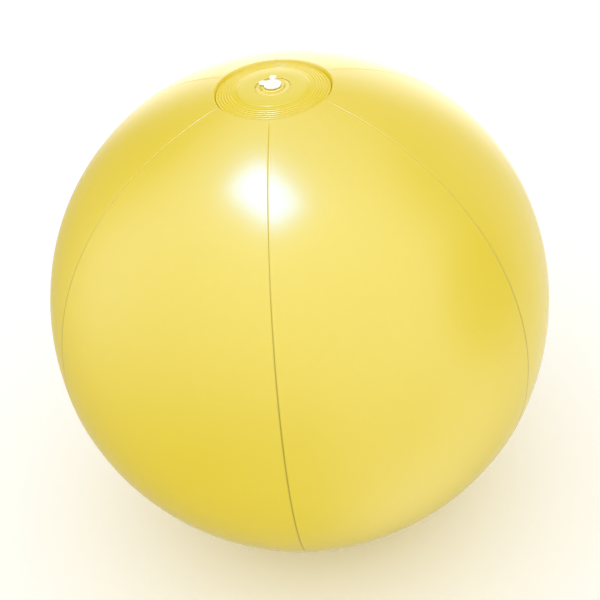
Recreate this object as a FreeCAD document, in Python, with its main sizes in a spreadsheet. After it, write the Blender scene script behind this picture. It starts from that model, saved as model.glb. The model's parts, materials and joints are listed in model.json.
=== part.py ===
import FreeCAD, Part
import math
import os
import Sketcher

# Inflatable beach ball, inflated and standing on its bottom end disc.
# Millimetres and degrees. +Z is the line through the two end discs, the valve is on top, and the
# origin is the middle of the bottom disc's resting face.

SIZES = {
    # ball
    "ball_radius": 140,
    "film": 0.25,
    "gore_count": 6,
    "first_seam_angle": -90,
    "fin_depth": 2.6,
    "fin_end_radius": 33,
    "bottom_drop": 137,
    "top_rise": 138,
    # end discs, and the gore tips welded under them
    "disc_radius": 29,
    "flat_radius": 14.2,
    "disc_film": 0.4,
    "plateau_radius": 17.8,
    "groove_inner": 18.6,
    "groove_outer": 20.4,
    "groove_depth": 0.7,
    "band_inner": 21,
    "ridge_height": 0.25,
    "ridge_half_width": 0.3,
    "ridge_root": 0.1,
    "ridge_first": 21.55,
    "ridge_pitch": 1.42,
    "shoulder_radius": 30.6,
    "tab_radius": 29.3,
    "shoulder_inset": 0.15,
    # valve, measured from the outer face of the top disc
    "valve_hole_radius": 9.3,
    "fit_gap": 0.05,
    "collar_inner": 8.9,
    "collar_top": 0.1,
    "flange_radius": 14,
    "flange_bottom": 1.1,
    "web_ring_radius": 11.2,
    "web_throat_radius": 7.2,
    "web_film": 0.4,
    "web_slant_gap": 0.45,
    "web_sleeve_top": 7.5,
    "web_sleeve_bottom": 9.5,
    "sleeve_gap": 0.1,
    "stem_radius": 5.8,
    "stem_top": 0.3,
    "stem_length": 16,
    "bore_radius": 3.5,
    "bore_mouth": 4.3,
    "mouth_depth": 1.2,
    "rim_rounding": 0.4,
    "lug_width": 3.6,
    "lug_start": 5.5,
    "lug_end": 8.1,
    "lug_bottom": 0.6,
    "lug_top": 0.35,
    # plug and its strap
    "cap_radius": 4.7,
    "cap_bottom": 0.5,
    "cap_top": 1.7,
    "cap_rounding": 0.45,
    "stopper_root": 3.4,
    "stopper_tip": 2.1,
    "stopper_length": 4.5,
    "thumb_tab_radius": 2.1,
    "thumb_tab_reach": 5.5,
    "thumb_tab_angle": 155,
    "thumb_tab_bottom": 0.7,
    "strap_width": 3.2,
    "strap_film": 0.6,
    "strap_start": 3.2,
    "strap_bend": 6.3,
    "plug_hinge_reach": 8,
    "plug_hinge_height": 1.1,
    "strap_end_half": 0.4,
    # one-way flap at the inner end of the stem
    "flap_radius": 4.9,
    "flap_film": 0.5,
    "flap_gap": 0.2,
    "flap_hinge_reach": 5.2,
    "flap_hinge_width": 4,
    "flap_hinge_start": 3,
}

RIDGE_COUNT = 6
ROUNDING_SLACK = 1.05

doc = FreeCAD.newDocument("BeachBall")
sheet = doc.addObject("Spreadsheet::Sheet", "Sizes")
for row, (alias, number) in enumerate(SIZES.items(), start=1):
    sheet.set(f"A{row}", alias)
    sheet.set(f"B{row}", str(number))
    sheet.setAlias(f"B{row}", alias)
doc.recompute()


class Size:
    """A length or an angle: its number, and the spreadsheet expression that drives it."""

    def __init__(self, value, text):
        self.value = value
        self.text = text

    def __add__(self, other):
        other = as_size(other)
        return Size(self.value + other.value, f"({self.text} + {other.text})")

    def __sub__(self, other):
        other = as_size(other)
        return Size(self.value - other.value, f"({self.text} - {other.text})")

    def __mul__(self, other):
        other = as_size(other)
        return Size(self.value * other.value, f"({self.text} * {other.text})")

    def __truediv__(self, other):
        other = as_size(other)
        return Size(self.value / other.value, f"({self.text} / {other.text})")

    def __neg__(self):
        return Size(-self.value, f"(0 - {self.text})")


def as_size(number):
    if isinstance(number, Size):
        return number
    return Size(number, str(number))


def named(alias):
    return Size(SIZES[alias], f"Sizes.{alias}")


def cosine(angle):
    return Size(math.cos(math.radians(angle.value)), f"cos({angle.text} * 1 deg)")


def sine(angle):
    return Size(math.sin(math.radians(angle.value)), f"sin({angle.text} * 1 deg)")


def leg(hypotenuse, side):
    """The other short side of a right-angled triangle."""
    square = hypotenuse * hypotenuse - side * side
    return Size(math.sqrt(square.value), f"sqrt({square.text})")


def dome_drop(across):
    """How far the domed part of an end disc lies below its flat middle, on the ball's own curve."""
    flat = named("flat_radius")
    return (across * across - flat * flat) / (named("ball_radius") * 2)


def new_body(name, height=None, turn=None):
    """A body raised to a height on the Z axis and turned about it."""
    body = doc.addObject("PartDesign::Body", name)
    body.Label = name
    if height is not None:
        body.setExpression("Placement.Base.z", height.text)
    if turn is not None:
        body.setExpression("Placement.Rotation.Angle", turn.text)
    return body


def origin_plane(body, role):
    return next(plane for plane in body.Origin.OriginFeatures if plane.Role == role)


def new_sketch(body, name, role, turn=None):
    """A sketch on a plane of the body's origin, turned about its upright axis if asked."""
    sketch = body.newObject("Sketcher::SketchObject", f"{body.Name}_{name}")
    sketch.AttachmentSupport = [(origin_plane(body, role), "")]
    sketch.MapMode = "FlatFace"
    if turn is not None:
        upright = FreeCAD.Vector(0, 1, 0)
        rotation = FreeCAD.Rotation(upright, turn.value)
        sketch.AttachmentOffset = FreeCAD.Placement(FreeCAD.Vector(), rotation)
        sketch.setExpression("AttachmentOffset.Rotation.Angle", turn.text)
    return sketch


def bind(sketch, kind, value, *elements):
    """A dimension of the sketch that follows the spreadsheet."""
    number = sketch.addConstraint(Sketcher.Constraint(kind, *elements, value.value))
    sketch.setExpression(f"Constraints[{number}]", value.text)


def arc_between(start, end, radius, bulge):
    """Arc from start to end. bulge +1 curves to the right of the way from start to end."""
    chord = end - start
    half = chord.Length / 2
    across = FreeCAD.Vector(-chord.y, chord.x, 0).normalize()
    centre = (start + end) / 2 + across * bulge * math.sqrt(radius * radius - half * half)
    circle = Part.Circle(centre, FreeCAD.Vector(0, 0, 1), radius)
    first, second = (start, end) if bulge > 0 else (end, start)
    return Part.ArcOfCircle(circle, circle.parameter(first), circle.parameter(second))


def draw_outline(sketch, corners, arcs=None):
    """Closed outline. arcs gives the edges that are round as edge: (radius, bulge)."""
    arcs = arcs or {}
    corners = [(as_size(across), as_size(up)) for across, up in corners]
    points = [FreeCAD.Vector(across.value, up.value, 0) for across, up in corners]
    first = sketch.GeometryCount
    ends = []
    for edge, start in enumerate(points):
        end = points[(edge + 1) % len(points)]
        if edge in arcs:
            radius, bulge = arcs[edge]
            sketch.addGeometry(arc_between(start, end, as_size(radius).value, bulge))
            ends.append((1, 2) if bulge > 0 else (2, 1))
        else:
            sketch.addGeometry(Part.LineSegment(start, end))
            ends.append((1, 2))
    for edge in range(len(points)):
        following = (edge + 1) % len(points)
        sketch.addConstraint(
            Sketcher.Constraint(
                "Coincident", first + edge, ends[edge][1], first + following, ends[following][0]
            )
        )
    for edge, (across, up) in enumerate(corners):
        bind(sketch, "DistanceX", across, -1, 1, first + edge, ends[edge][0])
        bind(sketch, "DistanceY", up, -1, 1, first + edge, ends[edge][0])
    for edge, (radius, bulge) in arcs.items():
        bind(sketch, "Radius", as_size(radius), first + edge)


def draw_circle(sketch, radius, across=0, up=0):
    centre = FreeCAD.Vector(as_size(across).value, as_size(up).value, 0)
    circle = sketch.addGeometry(Part.Circle(centre, FreeCAD.Vector(0, 0, 1), radius.value))
    bind(sketch, "Radius", radius, circle)
    bind(sketch, "DistanceX", as_size(across), -1, 1, circle, 3)
    bind(sketch, "DistanceY", as_size(up), -1, 1, circle, 3)


def spin(body, sketch, angle=None):
    """Turn the sketch about its upright axis: all the way round, or centred on the sketch."""
    spun = body.newObject("PartDesign::Revolution", f"{sketch.Name}_spun")
    spun.Profile = sketch
    spun.ReferenceAxis = (sketch, ["V_Axis"])
    spun.Angle = 360
    if angle is not None:
        spun.Midplane = True
        spun.setExpression("Angle", angle.text)
    return spun


def raise_pad(body, sketch, length, centred=False, reversed_way=False):
    pad = body.newObject("PartDesign::Pad", f"{sketch.Name}_pad")
    pad.Profile = sketch
    pad.setExpression("Length", length.text)
    pad.SideType = "Symmetric" if centred else "One side"
    pad.Reversed = reversed_way
    return pad


def make_gore(number):
    """One film panel from disc to disc, its edges turned in as weld fins, its tips under the discs."""
    gore_angle = as_size(360) / named("gore_count")
    turn = named("first_seam_angle") + gore_angle * (number - 0.5)
    body = new_body(f"gore_panel_{number}", named("bottom_drop"), turn)
    radius, film = named("ball_radius"), named("film")
    shoulder, tab, tip = named("shoulder_radius"), named("tab_radius"), named("band_inner")
    inner_shoulder = shoulder + named("shoulder_inset")
    inner_tab = tab + named("shoulder_inset")
    under_disc = named("ridge_height") + named("disc_film")
    top_tip, top_tab = [named("top_rise") - under_disc - dome_drop(edge) for edge in (tip, tab)]
    bottom_tip, bottom_tab = [under_disc + dome_drop(edge) - named("bottom_drop") for edge in (tip, tab)]
    outer_height = leg(radius, shoulder)
    inner_height = leg(radius - film, inner_shoulder)

    shell = new_sketch(body, "shell", "XZ_Plane")
    corners = [
        (tip, top_tip),
        (tab, top_tab),
        (shoulder, outer_height),
        (shoulder, -outer_height),
        (tab, bottom_tab),
        (tip, bottom_tip),
        (tip, bottom_tip + film),
        (inner_tab, bottom_tab + film),
        (inner_shoulder, -inner_height),
        (inner_shoulder, inner_height),
        (inner_tab, top_tab - film),
        (tip, top_tip - film),
    ]
    draw_outline(shell, corners, {2: (radius, -1), 8: (radius - film, 1)})
    spin(body, shell, gore_angle)

    fin = new_sketch(body, "fin", "XZ_Plane", gore_angle / 2)
    fin_outer, fin_inner, end = radius - film / 2, radius - named("fin_depth"), named("fin_end_radius")
    corners = [
        (end, leg(fin_outer, end)),
        (end, -leg(fin_outer, end)),
        (end, -leg(fin_inner, end)),
        (end, leg(fin_inner, end)),
    ]
    draw_outline(fin, corners, {0: (fin_outer, -1), 2: (fin_inner, 1)})
    pad = raise_pad(body, fin, film)
    mirror = body.newObject("PartDesign::Mirrored", f"{body.Name}_other_fin")
    mirror.Originals = [pad]
    mirror.MirrorPlane = (origin_plane(body, "XZ_Plane"), [""])
    body.Tip = mirror
    return body


def make_end_disc(name, hole_radius):
    """Domed disc with a flat middle, a groove and a band of concentric weld ridges."""
    body = new_body(name)
    film, rise = named("disc_film"), named("ridge_height")
    steps = [
        (named("plateau_radius"), 0),
        (named("groove_inner"), named("groove_depth")),
        (named("groove_outer"), named("groove_depth")),
        (named("band_inner"), rise),
        (named("disc_radius"), rise),
    ]
    top = [(hole_radius, 0), (named("flat_radius"), 0)]
    top += [(across, -dome_drop(across) - depth) for across, depth in steps]
    underside = [(across, as_size(up) - film) for across, up in reversed(top)]
    plate = new_sketch(body, "plate", "XZ_Plane")
    draw_outline(plate, top + underside)
    spin(body, plate)

    ridges = new_sketch(body, "ridges", "XZ_Plane")
    half = named("ridge_half_width")
    arc_radius = (half * half + rise * rise) / (rise * 2)
    for ring in range(RIDGE_COUNT):
        middle = named("ridge_first") + named("ridge_pitch") * ring
        base = -dome_drop(middle) - rise
        root = base - named("ridge_root")
        corners = [
            (middle - half, root),
            (middle - half, base),
            (middle + half, base),
            (middle + half, root),
        ]
        draw_outline(ridges, corners, {1: (arc_radius, -1)})
    spin(body, ridges)
    return body


def make_valve_flange(face_height):
    """Ring welded under the top disc, with a low collar standing in the disc's hole."""
    body = new_body("valve_flange", face_height)
    inner, outer = named("collar_inner"), named("valve_hole_radius") - named("fit_gap")
    under, bottom = -named("disc_film"), -named("flange_bottom")
    section = new_sketch(body, "section", "XZ_Plane")
    corners = [
        (inner, bottom),
        (inner, named("collar_top")),
        (outer, named("collar_top")),
        (outer, under),
        (named("flange_radius"), under),
        (named("flange_radius"), bottom),
    ]
    draw_outline(section, corners)
    spin(body, section)
    return body


def make_valve_diaphragm(face_height):
    """Thin web: flat inside the flange, then a funnel down to its sleeve round the stem."""
    body = new_body("valve_diaphragm", face_height)
    ring_top = -named("flange_bottom")
    ring_bottom = ring_top - named("web_film")
    inner = named("stem_radius") + named("sleeve_gap")
    outer = inner + named("web_slant_gap")
    throat = named("web_throat_radius")
    section = new_sketch(body, "section", "XZ_Plane")
    corners = [
        (throat, ring_top),
        (named("web_ring_radius"), ring_top),
        (named("web_ring_radius"), ring_bottom),
        (throat + named("web_slant_gap"), ring_bottom),
        (outer, -named("web_sleeve_top")),
        (outer, -named("web_sleeve_bottom")),
        (inner, -named("web_sleeve_bottom")),
        (inner, -named("web_sleeve_top")),
    ]
    draw_outline(section, corners)
    spin(body, section)
    return body


def make_valve_stem(face_height):
    """Tube with a bevelled mouth, a rounded rim and a lug that carries the strap."""
    body = new_body("valve_stem", face_height)
    top = named("stem_top")
    bottom = top - named("stem_length")
    rounding = named("rim_rounding")
    section = new_sketch(body, "section", "XZ_Plane")
    corners = [
        (named("bore_radius"), bottom),
        (named("bore_radius"), top - named("mouth_depth")),
        (named("bore_mouth"), top),
        (named("stem_radius") - rounding, top),
        (named("stem_radius"), top - rounding),
        (named("stem_radius"), bottom),
    ]
    draw_outline(section, corners, {3: (rounding, -1)})
    spin(body, section)

    lug = new_sketch(body, "lug", "YZ_Plane")
    start, low = named("lug_start"), -named("lug_bottom")
    root = named("stem_radius") - rounding
    corners = [
        (root, low),
        (root, top - rounding),
        (start, named("lug_top")),
        (named("lug_end"), named("lug_top")),
        (named("lug_end"), low),
    ]
    draw_outline(lug, corners)
    raise_pad(body, lug, named("lug_width"), centred=True)
    return body


def make_plug(face_height):
    """Tapered stopper under a round cap, with a thumb tab at one side."""
    body = new_body("plug", face_height)
    low, high = named("cap_bottom"), named("cap_top")
    rounding, edge = named("cap_rounding"), named("cap_radius")
    section = new_sketch(body, "section", "XZ_Plane")
    corners = [
        (0, -named("stopper_length")),
        (0, high),
        (edge - rounding, high),
        (edge, high - rounding),
        (edge, low),
        (named("stopper_root"), low),
        (named("stopper_root"), 0),
        (named("stopper_tip"), -named("stopper_length")),
    ]
    draw_outline(section, corners, {2: (rounding * ROUNDING_SLACK, -1)})
    spin(body, section)

    tab = new_sketch(body, "thumb_tab", "XY_Plane")
    tab.setExpression("AttachmentOffset.Base.z", named("thumb_tab_bottom").text)
    angle, reach = named("thumb_tab_angle"), named("thumb_tab_reach")
    draw_circle(tab, named("thumb_tab_radius"), cosine(angle) * reach, sine(angle) * reach)
    raise_pad(body, tab, high - rounding - named("thumb_tab_bottom"))
    return body


def make_plug_strap(face_height):
    """Flat strap from the top of the cap, bent down to its living hinge on the stem's lug."""
    body = new_body("plug_strap", face_height)
    under = named("cap_top")
    over = under + named("strap_film")
    hinge, height = named("plug_hinge_reach"), named("plug_hinge_height")
    half = named("strap_end_half")
    bend = named("strap_bend")
    outer_radius = over - height + half * 2
    side = new_sketch(body, "side", "YZ_Plane")
    corners = [
        (named("strap_start"), under),
        (named("strap_start"), over),
        (bend, over),
        (hinge + half, height),
        (hinge - half, height),
        (bend, under),
    ]
    arcs = {
        2: (outer_radius, -1),
        3: (half * ROUNDING_SLACK, -1),
        4: (outer_radius - named("strap_film"), 1),
    }
    draw_outline(side, corners, arcs)
    raise_pad(body, side, named("strap_width"), centred=True)
    return body


def make_check_flap(face_height):
    """Thin disc that closes the inner end of the bore, with a hinge strip at one side."""
    drop = named("stem_top") - named("stem_length") - named("flap_gap") - named("flap_film") / 2
    body = new_body("check_flap", face_height + drop)
    disc = new_sketch(body, "disc", "XY_Plane")
    draw_circle(disc, named("flap_radius"))
    raise_pad(body, disc, named("flap_film"), centred=True)

    strip = new_sketch(body, "strip", "YZ_Plane")
    start, hinge, half = named("flap_hinge_start"), named("flap_hinge_reach"), named("flap_film") / 2
    corners = [(start, -half), (start, half), (hinge, half), (hinge, -half)]
    draw_outline(strip, corners, {2: (half * ROUNDING_SLACK, -1)})
    raise_pad(body, strip, named("flap_hinge_width"), centred=True)
    return body


def make_ball():
    """All the sub-parts."""
    face_height = named("bottom_drop") + named("top_rise")
    gores = [make_gore(number) for number in range(1, SIZES["gore_count"] + 1)]
    top_disc = make_end_disc("top_end_disc", named("valve_hole_radius"))
    top_disc.setExpression("Placement.Base.z", face_height.text)
    bottom_disc = make_end_disc("bottom_end_disc", as_size(0))
    face_down = FreeCAD.Rotation(FreeCAD.Vector(1, 0, 0), 180)
    bottom_disc.Placement = FreeCAD.Placement(FreeCAD.Vector(), face_down)
    valve = [
        make_valve_flange(face_height),
        make_valve_diaphragm(face_height),
        make_valve_stem(face_height),
        make_check_flap(face_height),
        make_plug(face_height),
        make_plug_strap(face_height),
    ]
    return gores + [top_disc, bottom_disc] + valve


def check(bodies):
    """Stop if any feature failed or any sub-part isn't one valid solid."""
    for item in doc.Objects:
        if "Invalid" in item.State or "Error" in item.State:
            raise RuntimeError(f"{item.Label} failed: {item.State}")
    for body in bodies:
        shape = body.Shape
        if shape.isNull() or not shape.isValid() or len(shape.Solids) != 1:
            raise RuntimeError(f"{body.Label} is not one valid solid")


def write(bodies):
    os.makedirs("parts", exist_ok=True)
    for body in bodies:
        body.Shape.exportStep(f"parts/{body.Label}.step")
        print(f"{body.Label}: {body.Shape.Volume:.2f} mm3")


ball = make_ball()
doc.recompute()
check(ball)
write(ball)
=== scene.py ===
import json
import math

import bmesh
import bpy
import numpy as np
from mathutils import Matrix, Vector


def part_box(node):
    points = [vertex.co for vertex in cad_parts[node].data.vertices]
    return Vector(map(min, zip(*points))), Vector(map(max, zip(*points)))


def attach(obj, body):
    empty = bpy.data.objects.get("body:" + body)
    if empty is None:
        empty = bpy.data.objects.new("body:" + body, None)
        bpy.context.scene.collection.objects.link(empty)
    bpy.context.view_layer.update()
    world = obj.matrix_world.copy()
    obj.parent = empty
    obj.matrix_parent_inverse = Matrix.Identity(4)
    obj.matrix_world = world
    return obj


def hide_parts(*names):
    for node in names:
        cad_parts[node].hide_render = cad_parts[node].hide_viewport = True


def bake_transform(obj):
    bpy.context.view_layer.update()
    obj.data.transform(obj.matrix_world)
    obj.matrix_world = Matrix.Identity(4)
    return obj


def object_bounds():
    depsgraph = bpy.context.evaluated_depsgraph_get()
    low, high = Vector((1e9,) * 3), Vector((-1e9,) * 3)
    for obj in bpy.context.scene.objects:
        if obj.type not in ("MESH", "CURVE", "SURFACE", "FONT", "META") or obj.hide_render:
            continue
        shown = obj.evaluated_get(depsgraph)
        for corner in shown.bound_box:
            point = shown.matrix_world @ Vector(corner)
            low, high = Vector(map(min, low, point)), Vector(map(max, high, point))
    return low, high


# An inflatable beach ball of welded PVC film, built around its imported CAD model.
# Metres, in the row frame: +Z runs through the end discs, the valve is on top, the floor is at 0.

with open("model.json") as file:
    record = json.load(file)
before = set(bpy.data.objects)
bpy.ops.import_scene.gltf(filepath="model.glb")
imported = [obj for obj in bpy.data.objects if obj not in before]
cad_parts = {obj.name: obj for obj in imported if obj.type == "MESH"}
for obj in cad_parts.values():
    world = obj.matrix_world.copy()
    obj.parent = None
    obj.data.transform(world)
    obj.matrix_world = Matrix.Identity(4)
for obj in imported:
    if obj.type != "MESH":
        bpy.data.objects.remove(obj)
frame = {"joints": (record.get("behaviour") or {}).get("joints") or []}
cad_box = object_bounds()

MM = 0.001
GORES = 6
FIRST_SEAM = math.radians(-90)
GORE_ANGLE = math.radians(360 / GORES)
HALF_GORE = GORE_ANGLE / 2

# sizes that the frame gives
GORE_LOW, GORE_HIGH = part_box("gore_panel_1")
DISC_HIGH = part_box("top_end_disc")[1]
FLANGE_LOW, FLANGE_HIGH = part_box("valve_flange")
WEB_LOW, WEB_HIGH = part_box("valve_diaphragm")
STEM_LOW, STEM_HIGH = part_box("valve_stem")
FLAP_LOW, FLAP_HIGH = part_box("check_flap")
PLUG_LOW, PLUG_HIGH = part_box("plug")
STRAP_LOW, STRAP_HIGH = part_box("plug_strap")
RADIUS = cad_box[1][1]
CENTRE_Z = (GORE_LOW[2] + GORE_HIGH[2]) / 2
FACE_Z = DISC_HIGH[2]
DISC_RADIUS = DISC_HIGH[0]
PLUG_HINGE = next(joint["pos_m"] for joint in frame["joints"] if joint["name"] == "plug_hinge")

# film: its thickness, then the blown-up shape as shares of the radius
FILM = 0.25 * MM
POLE_FLATTENING = 0.0031
SHOULDER_FULLNESS = 0.0099
GORE_FLATNESS = 0.005

# seams: a crease, which is faint near the discs, between two slight weld edges, with fins turned in
SEAM_HALF_GAP = 0.04 * MM
FIN_DEPTH = 2.6 * MM
FIN_START_RADIUS, FIN_FULL_RADIUS = 31 * MM, 37 * MM
CREASE_DEPTH, CREASE_WIDTH = 0.1 * MM, 0.2 * MM
SEAM_FAINT, SEAM_CLEAR, SEAM_LEAST = math.radians(20), math.radians(80), 0.08
WELD_EDGE, WELD_EDGE_WIDTH, WELD_EDGE_HEIGHT = 1.05 * MM, 0.2 * MM, 0.015 * MM
# width of the seams' darker line, which is partly the double film and partly painted shade of the crease
WELD_SHADE_WIDTH = 0.42 * MM

# gore tips: tabs under the disc, and the shoulder where the film comes up beside it
TAB_INNER, TAB_OUTER, SHOULDER_RADIUS = 21 * MM, 28.9 * MM, 30.2 * MM
SHOULDER_RISE, SHOULDER_WIDTH = 1.5 * MM, 26 * MM

# mesh steps: a gore's rows and columns inside its finely cut edges, and a disc's rings, rim and turn
GORE_MIDDLE_ROWS, GORE_MIDDLE_COLUMNS = 190, 41
DISC_RINGS, DISC_EDGE_STEPS, DISC_SEGMENTS = 210, 7, 256

# end discs
DISC_FILM = 0.4 * MM
FLAT_RADIUS, DOME_START = 14.2 * MM, 0.25 * MM
PLATEAU_RADIUS, GROOVE_INNER, GROOVE_OUTER, BAND_INNER = 17.8 * MM, 18.6 * MM, 20.4 * MM, 21 * MM
GROOVE_DEPTH, RIDGE_HEIGHT, RIDGE_HALF_WIDTH = 0.22 * MM, 0.22 * MM, 0.42 * MM
RIDGE_FIRST, RIDGE_PITCH, RIDGES = 21.55 * MM, 1.42 * MM, 6
DISC_EDGE_ROUNDING = 0.4 * MM
VALVE_HOLE_RADIUS = 9.3 * MM
MIDDLE_INNER, MIDDLE_OUTER = 16.4 * MM, 18.8 * MM

# valve: the web's film, and the top of the lug that the strap hangs on
WEB_FILM = 0.4 * MM
LUG_TOP = FACE_Z + 0.35 * MM

# camera: its direction from the ball, and how far the ball leans in its view
CAMERA_AZIMUTH, CAMERA_ELEVATION = math.radians(6.96), math.radians(39.18)
CAMERA_ROLL = math.radians(7.29)
CAMERA_DISTANCE = 4.782 * RADIUS
CAMERA_FIELD = math.radians(28.7)

# colours, each a tone and the close one that clouds it. The film's gloss is tinted against its
# yellow, so that it whitens the film. A haze is a range of roughness, a depth a share of subsurface
# The weld tone darkens the seams: partly the double film at the weld, partly painted shade in the seam's
# crease
PANEL_TONE, PANEL_CLOUD, WELD_SHADE_TONE = (0.772, 0.591, 0.018), (0.777, 0.599, 0.022), (0.42, 0.31, 0.0)
DISC_TONE, DISC_CLOUD, MIDDLE_TONE = (0.76, 0.585, 0.006), (0.765, 0.592, 0.01), (0.775, 0.625, 0.06)
VALVE_TONE, VALVE_CLOUD = (0.8, 0.64, 0.12), (0.81, 0.65, 0.14)
PLUG_TONE, PLUG_CLOUD = (0.84, 0.83, 0.78), (0.86, 0.85, 0.81)
FILM_GLOSS, DISC_GLOSS = 0.62, 0.36
GLOSS_TINT, PLAIN_TINT = (0.02, 0.36, 1.0), (1, 1, 1)
PANEL_HAZE, DISC_HAZE, MOULDED_HAZE = (0.25, 0.27), (0.15, 0.17), (0.25, 0.32)
VALVE_DEPTH, PLUG_DEPTH = 0.3, 0.4
CLOUD_SCALE, HAZE_SCALE = 14, 22
FLOOR_TONE, FLOOR_CLOUD, FLOOR_SCALE, FLOOR_REACH = (0.94, 0.94, 0.94), (0.95, 0.95, 0.95), 3, 6

# light: an even one for diffuse surfaces, and a room that gloss mirrors. The pairs named EDGE, RISE,
# FADE and TOP say where a part of the room begins and ends, from -1 to 1 along east, north or up.
# The soft box overhead stands off to the side by LEAN times its height
EVEN_LIGHT = 1.13
ROOM_LIGHT, ROOM_EDGE = (0.4, 0.95), (-0.7, -0.1)
FLOOR_GLOSS, FLOOR_EDGE = 0.45, (-0.97, -0.6)
BACK_LIGHT, BACK_EDGE = 1.5, (0.8, 1.0)
DARK_SIDE, DARK_EDGE = 0.3, (0.86, 1.0)
OVERHEAD_LIGHT, OVERHEAD_EDGE = 3.4, (0.55, 1.0)
FRONT_LIGHT, FRONT_TURN, FRONT_EDGE = 4.7, 0.16, (-0.25, 0.5)
FRONT_RISE, FRONT_FADE = (-0.7, 0.7), (0.6, 1.05)
SIDE_LIGHT, SIDE_EDGE, SIDE_TOP = 0.3, (-0.1, 0.45), (-0.2, 0.6)
TOP_BOX_LEAN, TOP_BOX_HEIGHT, TOP_BOX_TURN = (-0.134, -0.09), 1.4, math.radians(-50)
TOP_BOX_SIZE, TOP_BOX_POWER = (0.68, 0.4), 23


def smooth_step(values, low, high):
    """0 below low, 1 above high, an even S curve between them."""
    share = np.clip((np.asarray(values, float) - low) / (high - low), 0, 1)
    return share * share * (3 - 2 * share)


def new_object(name, vertices, faces):
    """A smooth-shaded mesh object in the scene."""
    mesh = bpy.data.meshes.new(name)
    mesh.from_pydata([tuple(v) for v in vertices], [], [tuple(f) for f in faces])
    mesh.validate()
    mesh.shade_smooth()
    piece = bpy.data.objects.new(name, mesh)
    bpy.context.scene.collection.objects.link(piece)
    return piece


def sharpen(piece, degrees=40):
    """Edges that turn by more than this stay crisp in the shading."""
    piece.data.set_sharp_from_angle(angle=math.radians(degrees))


def apply_modifiers(piece):
    """The piece's modifiers become its mesh."""
    depsgraph = bpy.context.evaluated_depsgraph_get()
    mesh = bpy.data.meshes.new_from_object(piece.evaluated_get(depsgraph))
    piece.modifiers.clear()
    old = piece.data
    piece.data = mesh
    bpy.data.meshes.remove(old)


def grid_faces(rows, columns, closed=False):
    """Quads between the points of a grid that is stored row by row."""
    across = columns if closed else columns - 1
    row, column = np.meshgrid(np.arange(rows - 1), np.arange(across), indexing="ij")
    start = (row * columns + column).ravel()
    side = (row * columns + (column + 1) % columns).ravel()
    return np.stack([start, side, side + columns, start + columns], axis=1)


def rounded_outline(corners, steps=8):
    """Closed outline as an array of points. Each corner is (x, y, rounding radius)."""
    points = []
    count = len(corners)
    for index, (x, y, radius) in enumerate(corners):
        here = Vector((x, y))
        if radius <= 0:
            points.append(here)
            continue
        back = (Vector(corners[index - 1][:2]) - here).normalized()
        ahead = (Vector(corners[(index + 1) % count][:2]) - here).normalized()
        half_angle = back.angle(ahead) / 2
        reach = radius / math.tan(half_angle)
        middle = here + (back + ahead).normalized() * (radius / math.sin(half_angle))
        start, end = here + back * reach - middle, here + ahead * reach - middle
        for step in range(steps + 1):
            share = step / steps
            spoke = start.lerp(end, share).normalized() * radius
            points.append(middle + spoke)
    return np.array([tuple(point) for point in points])


def lathe(name, outline, segments=192, base_z=0.0):
    """Closed ring or button: the outline of (radius, height) points turned round the Z axis."""
    outline = np.asarray(outline, float)
    angles = np.arange(segments) * (2 * math.pi / segments)
    radius, height = outline[:, 0], outline[:, 1]
    x = radius[:, None] * np.cos(angles)
    y = radius[:, None] * np.sin(angles)
    z = np.repeat(height[:, None] + base_z, segments, axis=1)
    vertices = np.stack([x, y, z], axis=-1).reshape(-1, 3)
    faces = grid_faces(len(outline), segments, closed=True)
    first = np.arange(segments)
    last = first + (len(outline) - 1) * segments
    closing = np.stack([last, np.roll(last, -1), np.roll(first, -1), first], axis=1)
    piece = new_object(name, vertices, np.concatenate([faces, closing]))
    weld(piece)
    return piece


def weld(piece):
    """Joins doubled points, drops empty faces and turns the faces outward."""
    distance = 1e-4 * MM
    mesh = bmesh.new()
    mesh.from_mesh(piece.data)
    bmesh.ops.remove_doubles(mesh, verts=mesh.verts, dist=distance)
    bmesh.ops.dissolve_degenerate(mesh, edges=mesh.edges, dist=distance)
    bmesh.ops.recalc_face_normals(mesh, faces=mesh.faces)
    mesh.to_mesh(piece.data)
    mesh.free()
    piece.data.shade_smooth()


def join_and_blend(name, parts, voxel, smoothing):
    """One moulded piece from overlapping parts: remeshed as one skin and softened at its joins."""
    bpy.ops.object.select_all(action="DESELECT")
    for part in parts:
        part.select_set(True)
    bpy.context.view_layer.objects.active = parts[0]
    bpy.ops.object.join()
    piece = parts[0]
    piece.name = name
    remesh = piece.modifiers.new("skin", "REMESH")
    remesh.mode = "VOXEL"
    remesh.voxel_size = voxel
    soften = piece.modifiers.new("soften", "SMOOTH")
    soften.iterations = smoothing
    apply_modifiers(piece)
    piece.data.shade_smooth()
    return piece


def dome_drop(radius):
    """How far an end disc's dome lies below its flat middle, on the ball's own curve."""
    curve = (radius**2 - FLAT_RADIUS**2) / (2 * RADIUS)
    return (curve + np.sqrt(curve**2 + DOME_START**2)) / 2


def film_radius(polar, offset):
    """Distance of the film from the ball's centre. offset is 0 mid gore and 1 at its seams.

    The second and fourth Legendre polynomials flatten the poles and fill out the shoulders."""
    cosine = np.cos(polar)
    second = 1.5 * cosine**2 - 0.5
    fourth = 4.375 * cosine**4 - 3.75 * cosine**2 + 0.375
    shape = 1 - POLE_FLATTENING * second - SHOULDER_FULLNESS * fourth
    flat = GORE_FLATNESS * (1 - offset**2) * np.sin(polar) ** 2
    return RADIUS * (shape - flat)


def ripples(polar, azimuth):
    """Slight unevenness of the blown-up film: slow and quick waves, about 0.2 mm at most."""
    x, y, z = np.sin(polar) * np.cos(azimuth), np.sin(polar) * np.sin(azimuth), np.cos(polar)
    slow = np.sin(5.1 * x + 3.3 * z + 0.7) * np.sin(4.3 * y - 2.9 * z + 1.9)
    quick = np.sin(11.7 * x - 7.1 * y + 2.3) * np.sin(9.1 * z + 6.7 * y + 0.4)
    slow_height, quick_height = 0.16, 0.05
    return (slow_height * slow + quick_height * quick) * MM


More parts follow.
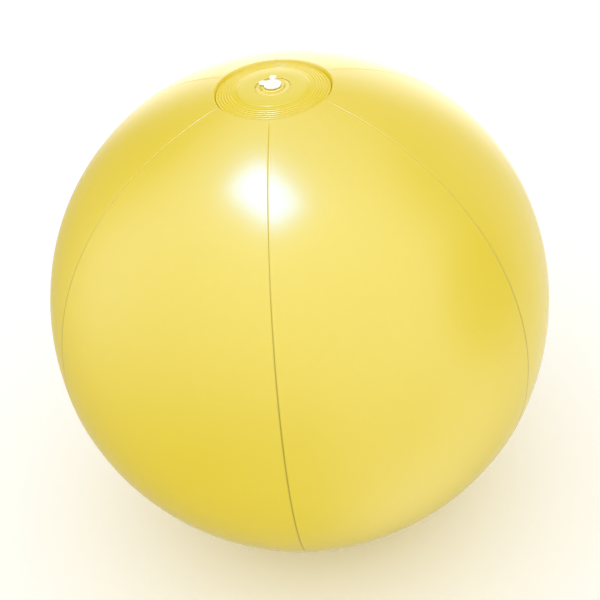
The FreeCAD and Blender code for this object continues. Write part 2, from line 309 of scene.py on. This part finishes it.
def gore_rows():
    """Polar angles from the top tab's tip to the bottom one's, close together at the shoulders."""
    step, slope_width = 0.1 * MM, 7 * MM
    tab = np.arange(TAB_INNER, TAB_OUTER - step, 5 * step)
    wall = np.arange(TAB_OUTER, SHOULDER_RADIUS + 4 * step, step)
    slope = np.arange(wall[-1] + 2 * step, SHOULDER_RADIUS + slope_width, 4 * step)
    near = np.arcsin(np.concatenate([tab, wall, slope]) / RADIUS)
    middle = np.linspace(near[-1], math.pi - near[-1], GORE_MIDDLE_ROWS)[1:-1]
    return np.concatenate([near, middle, math.pi - near[::-1]])


def gore_columns():
    """From a seam towards mid gore: (distance from the seam, share of the fin's depth).

    They lie close together at the crease and at the weld's edge."""
    fin = [(SEAM_HALF_GAP, 1.0), (SEAM_HALF_GAP, 0.66), (SEAM_HALF_GAP, 0.33)]
    bend = [(0.07 * MM, 0.12), (0.13 * MM, 0.05), (0.22 * MM, 0.015)]
    near_seam = (0.32, 0.45, 0.6, 0.8, 0.9, 0.97, 1.05, 1.13, 1.2, 1.35, 1.7, 2.5, 3.4, 4.6, 6.0, 7.8)
    return fin + bend + [(reach * MM, 0.0) for reach in near_seam]


def gore_grid():
    """One gore's points: their polar angles, their angles from mid gore and the columns' fin shares."""
    rows = gore_rows()[:, None]
    columns = gore_columns()
    seam_radius = RADIUS * np.sin(rows)
    side = np.hstack([HALF_GORE - np.arcsin(reach / seam_radius) for reach, _ in columns])
    shares = np.linspace(0, 1, GORE_MIDDLE_COLUMNS + 2)[1:-1]
    middle = side[:, -1:] * (1 - 2 * shares)
    offsets = np.concatenate([side, middle, -side[:, ::-1]], axis=1)
    fin = [share for _, share in columns]
    fin_shares = np.array(fin + [0.0] * GORE_MIDDLE_COLUMNS + fin[::-1])
    polar = np.repeat(rows, offsets.shape[1], axis=1)
    return polar, offsets, fin_shares


def gore_distance(polar, azimuth, offsets, fin_shares):
    """The gore's distance from the ball's centre, and its seam's darker line: double film and painted
    shade.
    """
    seam_radius = RADIUS * np.sin(polar)
    seam_distance = seam_radius * np.sin(HALF_GORE - np.abs(offsets))
    distance = film_radius(polar, np.abs(offsets) / HALF_GORE) + ripples(polar, azimuth)
    from_disc = np.maximum(seam_radius - SHOULDER_RADIUS, 0)
    distance = distance + SHOULDER_RISE * np.exp(-from_disc / SHOULDER_WIDTH)
    free = smooth_step(seam_radius, FIN_START_RADIUS, FIN_FULL_RADIUS)
    from_pole = np.minimum(polar, math.pi - polar)
    clear = free * (SEAM_LEAST + (1 - SEAM_LEAST) * smooth_step(from_pole, SEAM_FAINT, SEAM_CLEAR))
    distance = distance - CREASE_DEPTH * np.exp(-((seam_distance / CREASE_WIDTH) ** 2)) * clear
    weld_edge = np.exp(-(((seam_distance - WELD_EDGE) / WELD_EDGE_WIDTH) ** 2))
    distance = distance + WELD_EDGE_HEIGHT * weld_edge * free
    distance = distance - fin_shares * FIN_DEPTH * free
    # the seam's darker line: partly its double film, partly painted shade of the crease, deepest where
    # the crease is
    weld_line_shade = np.exp(-((seam_distance / WELD_SHADE_WIDTH) ** 2)) * clear
    return distance, weld_line_shade


def film_height(polar, distance):
    """The gore's height: flat under the discs, then up the shoulder and on round the ball."""
    seam_radius = RADIUS * np.sin(polar)
    under_disc = RIDGE_HEIGHT + DISC_FILM + FILM / 2 + dome_drop(seam_radius)
    tab_height = np.where(polar < math.pi / 2, FACE_Z - under_disc, cad_box[0][2] + under_disc)
    on_film = smooth_step(seam_radius, TAB_OUTER, SHOULDER_RADIUS)
    height = CENTRE_Z + distance * np.cos(polar)
    return tab_height + (height - tab_height) * on_film


def make_gore(number):
    """The film of one gore with its tabs under the discs and its weld fins turned in."""
    polar, offsets, fin_shares = gore_grid()
    azimuth = FIRST_SEAM + GORE_ANGLE * (number - 0.5) + offsets
    distance, weld_line_shade = gore_distance(polar, azimuth, offsets, fin_shares)
    across, height = distance * np.sin(polar), film_height(polar, distance)
    vertices = np.stack([across * np.cos(azimuth), across * np.sin(azimuth), height], axis=-1)
    piece = new_object(f"gore_film_{number}", vertices.reshape(-1, 3), grid_faces(*offsets.shape))
    # the seam's darker line, partly painted crease shade, goes to the material as an attribute
    shade = piece.data.attributes.new("weld_line_shade", "FLOAT", "POINT")
    shade.data.foreach_set("value", weld_line_shade.ravel())
    thicken = piece.modifiers.new("film", "SOLIDIFY")
    thicken.thickness = FILM
    thicken.offset = 0
    apply_modifiers(piece)
    weld(piece)
    sharpen(piece)
    return piece


def disc_height(radius):
    """Height of the end disc's outer face from its flat middle."""
    groove = smooth_step(radius, PLATEAU_RADIUS, GROOVE_INNER)
    band = smooth_step(radius, GROOVE_OUTER, BAND_INNER)
    height = -GROOVE_DEPTH * groove + (GROOVE_DEPTH - RIDGE_HEIGHT) * band
    for ring in range(RIDGES):
        reach = (radius - RIDGE_FIRST - RIDGE_PITCH * ring) / RIDGE_HALF_WIDTH
        height = height + RIDGE_HEIGHT * np.where(np.abs(reach) < 1, np.cos(reach * math.pi / 2) ** 2, 0)
    return height - dome_drop(radius)


def make_disc(name, hole_radius, face_z, facing):
    """An end disc, with fewer rings on its hidden side. facing is 1 for the top disc and -1 for the
    bottom one."""
    edge = DISC_RADIUS - DISC_EDGE_ROUNDING
    radius = np.linspace(hole_radius, edge, DISC_RINGS)
    upper = disc_height(radius)
    angles = np.linspace(math.pi / 2, 0, DISC_EDGE_STEPS)
    rim_radius = edge + DISC_EDGE_ROUNDING * np.cos(angles)
    rim_height = upper[-1] - DISC_EDGE_ROUNDING * (1 - np.sin(angles))
    lower_radius = radius[::-3]
    lower = disc_height(lower_radius) - DISC_FILM
    lower[0] = rim_height[-1]
    outline = np.concatenate(
        [
            np.stack([radius, upper], axis=1),
            np.stack([rim_radius[1:], rim_height[1:]], axis=1),
            np.stack([lower_radius, lower], axis=1),
        ]
    )
    outline[:, 1] *= facing
    return lathe(name, outline, segments=DISC_SEGMENTS, base_z=face_z)


def make_flange():
    """The ring under the top disc and its low collar, which stands in the disc's hole."""
    inner, outer = 8.9 * MM, 9.25 * MM
    top, under, bottom = FLANGE_HIGH[2], FACE_Z - DISC_FILM, FLANGE_LOW[2]
    corners = [
        (inner, bottom, 0.1 * MM),
        (inner, top, 0.15 * MM),
        (outer, top, 0.15 * MM),
        (outer, under, 0),
        (FLANGE_HIGH[0], under, 0.1 * MM),
        (FLANGE_HIGH[0], bottom, 0.3 * MM),
    ]
    piece = lathe("flange_ring", rounded_outline(corners))
    sharpen(piece)
    return piece


def make_diaphragm():
    """The thin web: under the flange, over a low roll beside the stem, and down to its sleeve."""
    ring_top, ring_bottom = WEB_HIGH[2], WEB_HIGH[2] - WEB_FILM
    sleeve_top, sleeve_bottom = FACE_Z - 7.5 * MM, WEB_LOW[2]
    inner, outer = 5.9 * MM, 6.3 * MM
    roll_radius, roll_reach, roll_rise, roundness = 7.35 * MM, 1.52 * MM, 0.9 * MM, 0.6
    turn = np.linspace(0, math.pi, 25)
    across = np.sign(np.cos(turn)) * np.abs(np.cos(turn)) ** roundness
    rise = np.sin(turn) ** roundness
    under_reach, under_rise = roll_reach - WEB_FILM, roll_rise - WEB_FILM
    under = np.stack([roll_radius + under_reach * across, ring_top + under_rise * rise], axis=1)
    over = np.stack([roll_radius - roll_reach * across, ring_top + roll_rise * rise], axis=1)
    share = np.linspace(0, 1, 24)[:, None]
    down = under[-1] + (np.array([outer, sleeve_top]) - under[-1]) * share
    up = np.array([inner, sleeve_top]) + (over[0] - np.array([inner, sleeve_top])) * share
    outline = np.concatenate(
        [
            [(WEB_HIGH[0], ring_top), (WEB_HIGH[0], ring_bottom), (under[0][0], ring_bottom)],
            under,
            down[1:],
            [(outer, sleeve_bottom), (inner, sleeve_bottom)],
            up[:-1],
            over,
        ]
    )
    piece = lathe("valve_web", outline)
    sharpen(piece, 60)
    return piece


def block(low, high):
    """A plain box between two corners, to be blended into a moulded piece."""
    corners = [(x, y, z) for x in (low[0], high[0]) for y in (low[1], high[1]) for z in (low[2], high[2])]
    faces = [(0, 1, 3, 2), (4, 6, 7, 5), (0, 4, 5, 1), (2, 3, 7, 6), (0, 2, 6, 4), (1, 5, 7, 3)]
    piece = new_object("block", corners, faces)
    weld(piece)
    return piece


def make_stem():
    """The tube, its bevelled mouth and the lug that the strap hangs on."""
    outer, bore, mouth = STEM_HIGH[0], 3.5 * MM, 4.3 * MM
    top, bottom = FACE_Z + 0.3 * MM, STEM_LOW[2]
    corners = [
        (bore, bottom, 0.25 * MM),
        (bore, top - 1.2 * MM, 0.6 * MM),
        (mouth, top, 0.25 * MM),
        (outer, top, 0.45 * MM),
        (outer, bottom, 0.4 * MM),
    ]
    tube = lathe("tube", rounded_outline(corners), segments=128)
    half_width, inner_side, foot = 1.8 * MM, 5.1 * MM, FACE_Z - 0.6 * MM
    lug = block((-half_width, inner_side, foot), (half_width, STEM_HIGH[1], LUG_TOP))
    return join_and_blend("stem_tube", [tube, lug], voxel=0.16 * MM, smoothing=4)


def make_plug():
    """Stopper, cap with a dished top, and the thumb tab at its side."""
    top, low, tip = PLUG_HIGH[2], FACE_Z + 0.5 * MM, PLUG_LOW[2]
    tip_radius, stopper_radius, cap_radius = 2.1 * MM, 3.4 * MM, 4.4 * MM
    dish_edge, dish_floor = 3.4 * MM, 3 * MM
    corners = [
        (0, tip, 0),
        (tip_radius, tip, 0.4 * MM),
        (stopper_radius, low - 0.5 * MM, 0),
        (stopper_radius, low, 0.2 * MM),
        (cap_radius, low, 0.25 * MM),
        (cap_radius, top, 0.5 * MM),
        (dish_edge, top, 0.3 * MM),
        (dish_floor, top - 0.3 * MM, 0.3 * MM),
        (0, top - 0.4 * MM, 0),
    ]
    cap = lathe("cap", rounded_outline(corners), segments=128)
    angle, reach, tab_radius, rounding = math.radians(155), 5.5 * MM, 2.1 * MM, 0.35 * MM
    tab_low, tab_top = low + 0.25 * MM, top - 0.3 * MM
    thumb = [
        (0, tab_low, 0),
        (tab_radius, tab_low, rounding),
        (tab_radius, tab_top, rounding),
        (0, tab_top, 0),
    ]
    tab = lathe("tab", rounded_outline(thumb), segments=64)
    tab.data.transform(Matrix.Translation((reach * math.cos(angle), reach * math.sin(angle), 0)))
    return join_and_blend("stopper_plug", [cap, tab], voxel=0.14 * MM, smoothing=5)


def smooth_line(path):
    """Points along the NURBS curve that a path of (y, z) points steers."""
    curve = bpy.data.curves.new("path", "CURVE")
    curve.dimensions = "3D"
    spline = curve.splines.new("NURBS")
    spline.points.add(len(path) - 1)
    for point, (y, z) in zip(spline.points, path):
        point.co = (0, y, z, 1)
    spline.order_u = 3
    spline.use_endpoint_u = True
    spline.resolution_u = 10
    holder = bpy.data.objects.new("path", curve)
    line = bpy.data.meshes.new_from_object(holder)
    points = np.array([tuple(vertex.co) for vertex in line.vertices])[:, 1:]
    bpy.data.objects.remove(holder)
    bpy.data.meshes.remove(line)
    return points


def strap_line():
    """The strap's middle line, from the cap's top over a bend down to its hinge on the lug."""
    hinge_y, hinge_z = PLUG_HINGE[1:]
    middle = (STRAP_HIGH[2] + PLUG_HIGH[2]) / 2
    path = [
        (STRAP_LOW[1] + 0.2 * MM, middle),
        (5.2 * MM, middle),
        (6.3 * MM, middle - 0.02 * MM),
        (7.2 * MM, middle - 0.2 * MM),
        (7.8 * MM, middle - 0.6 * MM),
        (hinge_y, hinge_z),
        (hinge_y - 0.1 * MM, LUG_TOP - 0.1 * MM),
    ]
    return smooth_line(path)


def strap_section(points):
    """Half the width and half the thickness at each point: less at the hinge, round at the start."""
    hinge_reach, hinge_thinning, hinge_narrowing = 0.5 * MM, 0.35, 0.12
    half_width, half_thickness = STRAP_HIGH[0], (STRAP_HIGH[2] - PLUG_HIGH[2]) / 2
    near_hinge = np.exp(-(((points[:, 1] - PLUG_HINGE[2]) / hinge_reach) ** 2))
    travel = np.concatenate([[0], np.cumsum(np.linalg.norm(np.diff(points, axis=0), axis=1))])
    start_round = np.sqrt(np.clip(1 - (1 - np.clip(travel / half_width, 0, 1)) ** 2, 0.02, 1))
    width = half_width * (1 - hinge_narrowing * near_hinge) * start_round
    return width, half_thickness * (1 - hinge_thinning * near_hinge)


def make_strap():
    """Flat strap with rounded edges along its middle line."""
    points = strap_line()
    width, thickness = strap_section(points)
    along = np.gradient(points, axis=0)
    along /= np.linalg.norm(along, axis=1)[:, None]
    normal = np.stack([-along[:, 1], along[:, 0]], axis=1)
    section = rounded_outline([(-1, -1, 0.5), (1, -1, 0.5), (1, 1, 0.5), (-1, 1, 0.5)], steps=5)
    vertices = []
    for point, up, half, thick in zip(points, normal, width, thickness):
        for side, rise in section:
            x = math.copysign((abs(side) - 1) * thick + half, side)
            y, z = point + up * rise * thick
            vertices.append((x, y, z))
    count = len(section)
    faces = [tuple(face) for face in grid_faces(len(points), count, closed=True)]
    faces.append(tuple(range(count))[::-1])
    faces.append(tuple(range(len(vertices) - count, len(vertices))))
    piece = new_object("plug_tether", vertices, faces)
    weld(piece)
    sharpen(piece, 60)
    return piece


def make_flap():
    """Thin disc under the stem's inner end, with its hinge strip."""
    low, high = FLAP_LOW[2], FLAP_HIGH[2]
    radius, rounding = 4.9 * MM, (high - low) * 0.45
    outline = [(0, low, 0), (radius, low, rounding), (radius, high, rounding), (0, high, 0)]
    disc = lathe("disc", rounded_outline(outline), segments=96)
    half_width, inner_side, inset = 2 * MM, 3 * MM, 0.02 * MM
    strip = block((-half_width, inner_side, low + inset), (half_width, FLAP_HIGH[1], high - inset))
    return join_and_blend("flap_disc", [disc, strip], voxel=0.12 * MM, smoothing=2)


def new_material(name):
    """A material with nodes: (material, nodes, links, Principled node)."""
    material = bpy.data.materials.new(name)
    material.use_nodes = True
    nodes, links = material.node_tree.nodes, material.node_tree.links
    return material, nodes, links, nodes["Principled BSDF"]


def add_noise(nodes, links, scale):
    """Noise in the piece's own coordinates, so that it moves with it."""
    coordinates = nodes.new("ShaderNodeTexCoord")
    noise = nodes.new("ShaderNodeTexNoise")
    noise.inputs["Scale"].default_value = scale
    noise.inputs["Detail"].default_value = 2
    links.new(coordinates.outputs["Object"], noise.inputs["Vector"])
    return noise.outputs["Fac"]


def add_range(nodes, links, source, low, high, start=0.2, end=0.8):
    """Maps start..end of a source smoothly to low..high."""
    node = nodes.new("ShaderNodeMapRange")
    node.interpolation_type = "SMOOTHSTEP"
    node.inputs["From Min"].default_value = start
    node.inputs["From Max"].default_value = end
    node.inputs["To Min"].default_value = low
    node.inputs["To Max"].default_value = high
    links.new(source, node.inputs["Value"])
    return node.outputs["Result"]


def add_colour_mix(nodes, links, share, first, second):
    """Mixes two colours, each a plain colour or a node's output."""
    node = nodes.new("ShaderNodeMix")
    node.data_type = "RGBA"
    links.new(share, node.inputs["Factor"])
    for socket, colour in (("A", first), ("B", second)):
        if isinstance(colour, tuple):
            node.inputs[socket].default_value = (*colour, 1)
        else:
            links.new(colour, node.inputs[socket])
    return node.outputs["Result"]


def soft_plastic(name, first, second, haze, depth, gloss_tint=PLAIN_TINT):
    """Soft PVC: two close tones in slow clouds, an uneven gloss and some light below its surface."""
    material, nodes, links, shader = new_material(name)
    cloud = add_range(nodes, links, add_noise(nodes, links, CLOUD_SCALE), 0.0, 1.0)
    links.new(add_colour_mix(nodes, links, cloud, first, second), shader.inputs["Base Color"])
    uneven = add_range(nodes, links, add_noise(nodes, links, HAZE_SCALE), *haze)
    links.new(uneven, shader.inputs["Roughness"])
    shader.inputs["Subsurface Weight"].default_value = depth
    shader.inputs["Subsurface Radius"].default_value = (1.0, 0.7, 0.25)
    shader.inputs["Subsurface Scale"].default_value = 2 * MM
    shader.inputs["IOR"].default_value = 1.5
    shader.inputs["Specular Tint"].default_value = (*gloss_tint, 1)
    return material


def retone(material, share, colour):
    """Turns the material's colour towards another one, by a share that a node gives."""
    nodes, links = material.node_tree.nodes, material.node_tree.links
    base = nodes["Principled BSDF"].inputs["Base Color"]
    current = base.links[0].from_socket
    links.new(add_colour_mix(nodes, links, share, current, colour), base)


def panel_film():
    """Yellow film, darker along the welds: partly the two layers lying together, partly painted crease
    shade.
    """
    material = soft_plastic("panel_film", PANEL_TONE, PANEL_CLOUD, PANEL_HAZE, 0.0, GLOSS_TINT)
    nodes = material.node_tree.nodes
    nodes["Principled BSDF"].inputs["Specular IOR Level"].default_value = FILM_GLOSS
    weld_line_shade = nodes.new("ShaderNodeAttribute")
    weld_line_shade.attribute_name = "weld_line_shade"
    # painted crease shade and the double film's deeper tone along the seams
    retone(material, weld_line_shade.outputs["Fac"], WELD_SHADE_TONE)
    return material


def disc_film():
    """The discs' film, paler in its middle, out to the edge of its plateau."""
    material = soft_plastic("disc_film", DISC_TONE, DISC_CLOUD, DISC_HAZE, 0.0, GLOSS_TINT)
    nodes, links = material.node_tree.nodes, material.node_tree.links
    nodes["Principled BSDF"].inputs["Specular IOR Level"].default_value = DISC_GLOSS
    coordinates = nodes.new("ShaderNodeTexCoord")
    flat = nodes.new("ShaderNodeVectorMath")
    flat.operation = "MULTIPLY"
    flat.inputs[1].default_value = (1, 1, 0)
    links.new(coordinates.outputs["Object"], flat.inputs[0])
    reach = nodes.new("ShaderNodeVectorMath")
    reach.operation = "LENGTH"
    links.new(flat.outputs["Vector"], reach.inputs[0])
    pale = add_range(nodes, links, reach.outputs["Value"], 1.0, 0.0, MIDDLE_INNER, MIDDLE_OUTER)
    retone(material, pale, MIDDLE_TONE)
    return material


def paint(piece, material):
    """The material is the piece's only one."""
    piece.data.materials.clear()
    piece.data.materials.append(material)


def place(piece, node, body):
    """The piece stands for a CAD node and rides on its body."""
    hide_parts(node)
    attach(piece, body)


def make_film():
    """The six gores and the two discs, all on the ball's body."""
    panel, disc = panel_film(), disc_film()
    for number in range(1, GORES + 1):
        gore = make_gore(number)
        paint(gore, panel)
        place(gore, f"gore_panel_{number}", "ball")
    top = make_disc("top_disc_film", VALVE_HOLE_RADIUS, FACE_Z, 1)
    bottom = make_disc("bottom_disc_film", 0.0, cad_box[0][2], -1)
    for piece, node in ((top, "top_end_disc"), (bottom, "bottom_end_disc")):
        paint(piece, disc)
        place(piece, node, "ball")


def make_valve():
    """The yellow valve: flange, stem and flap, and the web that reaches from the ball to the stem."""
    valve = soft_plastic("valve_plastic", VALVE_TONE, VALVE_CLOUD, MOULDED_HAZE, VALVE_DEPTH)
    flange, stem, flap = make_flange(), make_stem(), make_flap()
    for piece, node, body in (
        (flange, "valve_flange", "ball"),
        (stem, "valve_stem", "stem"),
        (flap, "check_flap", "flap"),
    ):
        paint(piece, valve)
        place(piece, node, body)
    web = make_diaphragm()
    paint(web, valve)
    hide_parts("valve_diaphragm")
    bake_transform(web)


def make_stopper():
    """The white plug, and the strap that runs from the stem's lug to the plug."""
    white = soft_plastic("plug_plastic", PLUG_TONE, PLUG_CLOUD, MOULDED_HAZE, PLUG_DEPTH)
    plug = make_plug()
    paint(plug, white)
    place(plug, "plug", "stopper")
    tether = make_strap()
    paint(tether, white)
    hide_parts("plug_strap")
    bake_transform(tether)


def make_floor():
    """Large pale floor, a stage for the ball."""
    far = FLOOR_REACH
    corners = [(-far, -far, 0), (far, -far, 0), (far, far, 0), (-far, far, 0)]
    floor = new_object("floor", corners, [(0, 1, 2, 3)])
    material, nodes, links, shader = new_material("floor_pale")
    cloud = add_range(nodes, links, add_noise(nodes, links, FLOOR_SCALE), 0, 1)
    links.new(add_colour_mix(nodes, links, cloud, FLOOR_TONE, FLOOR_CLOUD), shader.inputs["Base Color"])
    shader.inputs["Roughness"].default_value = 0.9
    shader.inputs["Specular IOR Level"].default_value = 0.1
    paint(floor, material)
    floor.visible_glossy = False


def add_math(nodes, links, operation, first, second):
    """Adds or multiplies two sources, each a node's output or a plain number."""
    node = nodes.new("ShaderNodeMath")
    node.operation = operation
    for socket, source in zip(node.inputs, (first, second)):
        if isinstance(source, float):
            socket.default_value = source
        else:
            links.new(source, socket)
    return node.outputs["Value"]


def front_wall(nodes, links, east, north, up):
    """The bright wall on the camera's side: brightest high up, with some light low at its east."""
    turned = add_math(nodes, links, "ADD", north, add_math(nodes, links, "MULTIPLY", east, FRONT_TURN))
    front = add_range(nodes, links, turned, FRONT_LIGHT, 0.0, *FRONT_EDGE)
    rise = add_range(nodes, links, up, 0.0, 1.0, *FRONT_RISE)
    fade = add_range(nodes, links, up, 1.0, 0.5, *FRONT_FADE)
    side = add_range(nodes, links, east, 0.0, SIDE_LIGHT, *SIDE_EDGE)
    low = add_range(nodes, links, up, 1.0, 0.0, *SIDE_TOP)
    wall = add_math(nodes, links, "MULTIPLY", rise, fade)
    wall = add_math(nodes, links, "ADD", wall, add_math(nodes, links, "MULTIPLY", side, low))
    return add_math(nodes, links, "MULTIPLY", front, wall)


def room_strength(nodes, links):
    """How bright the mirrored room is in each direction: overhead, floor, back, front, dark side."""
    direction = nodes.new("ShaderNodeTexCoord")
    split = nodes.new("ShaderNodeSeparateXYZ")
    links.new(direction.outputs["Generated"], split.inputs["Vector"])
    east, north, up = (split.outputs[axis] for axis in "XYZ")
    overhead = add_range(nodes, links, up, 0.0, OVERHEAD_LIGHT, *OVERHEAD_EDGE)
    below = add_range(nodes, links, up, FLOOR_GLOSS, 1.0, *FLOOR_EDGE)
    around = add_range(nodes, links, east, *ROOM_LIGHT, *ROOM_EDGE)
    back = add_range(nodes, links, north, 0.0, BACK_LIGHT, *BACK_EDGE)
    dark = add_range(nodes, links, east, 1.0, DARK_SIDE, *DARK_EDGE)
    total = add_math(nodes, links, "ADD", overhead, add_math(nodes, links, "MULTIPLY", below, around))
    total = add_math(nodes, links, "ADD", total, back)
    total = add_math(nodes, links, "ADD", total, front_wall(nodes, links, east, north, up))
    return add_math(nodes, links, "MULTIPLY", total, dark)


def add_world():
    """White studio: its even light is for diffuse surfaces, and gloss mirrors the room."""
    world = bpy.data.worlds.new("studio")
    world.use_nodes = True
    nodes, links = world.node_tree.nodes, world.node_tree.links
    even, room = nodes["Background"], nodes.new("ShaderNodeBackground")
    for background in (even, room):
        background.inputs["Color"].default_value = (1, 1, 1, 1)
    even.inputs["Strength"].default_value = EVEN_LIGHT
    links.new(room_strength(nodes, links), room.inputs["Strength"])
    path = nodes.new("ShaderNodeLightPath")
    mix = nodes.new("ShaderNodeMixShader")
    links.new(path.outputs["Is Glossy Ray"], mix.inputs["Fac"])
    links.new(even.outputs["Background"], mix.inputs[1])
    links.new(room.outputs["Background"], mix.inputs[2])
    links.new(mix.outputs["Shader"], nodes["World Output"].inputs["Surface"])
    bpy.context.scene.world = world


def make_lights():
    """The studio's surroundings and the soft box overhead that the film mirrors."""
    add_world()
    light = bpy.data.lights.new("top_box", "AREA")
    light.shape = "RECTANGLE"
    light.size, light.size_y = TOP_BOX_SIZE
    light.energy = TOP_BOX_POWER
    lamp = bpy.data.objects.new("top_box", light)
    x, y = (lean * TOP_BOX_HEIGHT for lean in TOP_BOX_LEAN)
    lamp.location = (x, y, CENTRE_Z + TOP_BOX_HEIGHT)
    lamp.rotation_euler = (0, 0, TOP_BOX_TURN)
    lamp.visible_diffuse = False
    bpy.context.scene.collection.objects.link(lamp)


def make_camera():
    """Looks at the ball's centre, rolled so that the ball leans in its view."""
    lens = bpy.data.cameras.new("camera")
    lens.sensor_fit = "HORIZONTAL"
    lens.angle = CAMERA_FIELD
    camera = bpy.data.objects.new("camera", lens)
    level = math.cos(CAMERA_ELEVATION)
    east, north = math.sin(CAMERA_AZIMUTH) * level, -math.cos(CAMERA_AZIMUTH) * level
    away = Vector((east, north, math.sin(CAMERA_ELEVATION)))
    look = away.to_track_quat("Z", "Y").to_matrix().to_4x4()
    roll = Matrix.Rotation(-CAMERA_ROLL, 4, "Z")
    position = Matrix.Translation(Vector((0, 0, CENTRE_Z)) + away * CAMERA_DISTANCE)
    camera.matrix_world = position @ look @ roll
    bpy.context.scene.collection.objects.link(camera)
    bpy.context.scene.camera = camera


make_camera()
make_floor()
make_lights()
make_film()
make_valve()
make_stopper()
bpy.context.scene.view_settings.view_transform = "Standard"
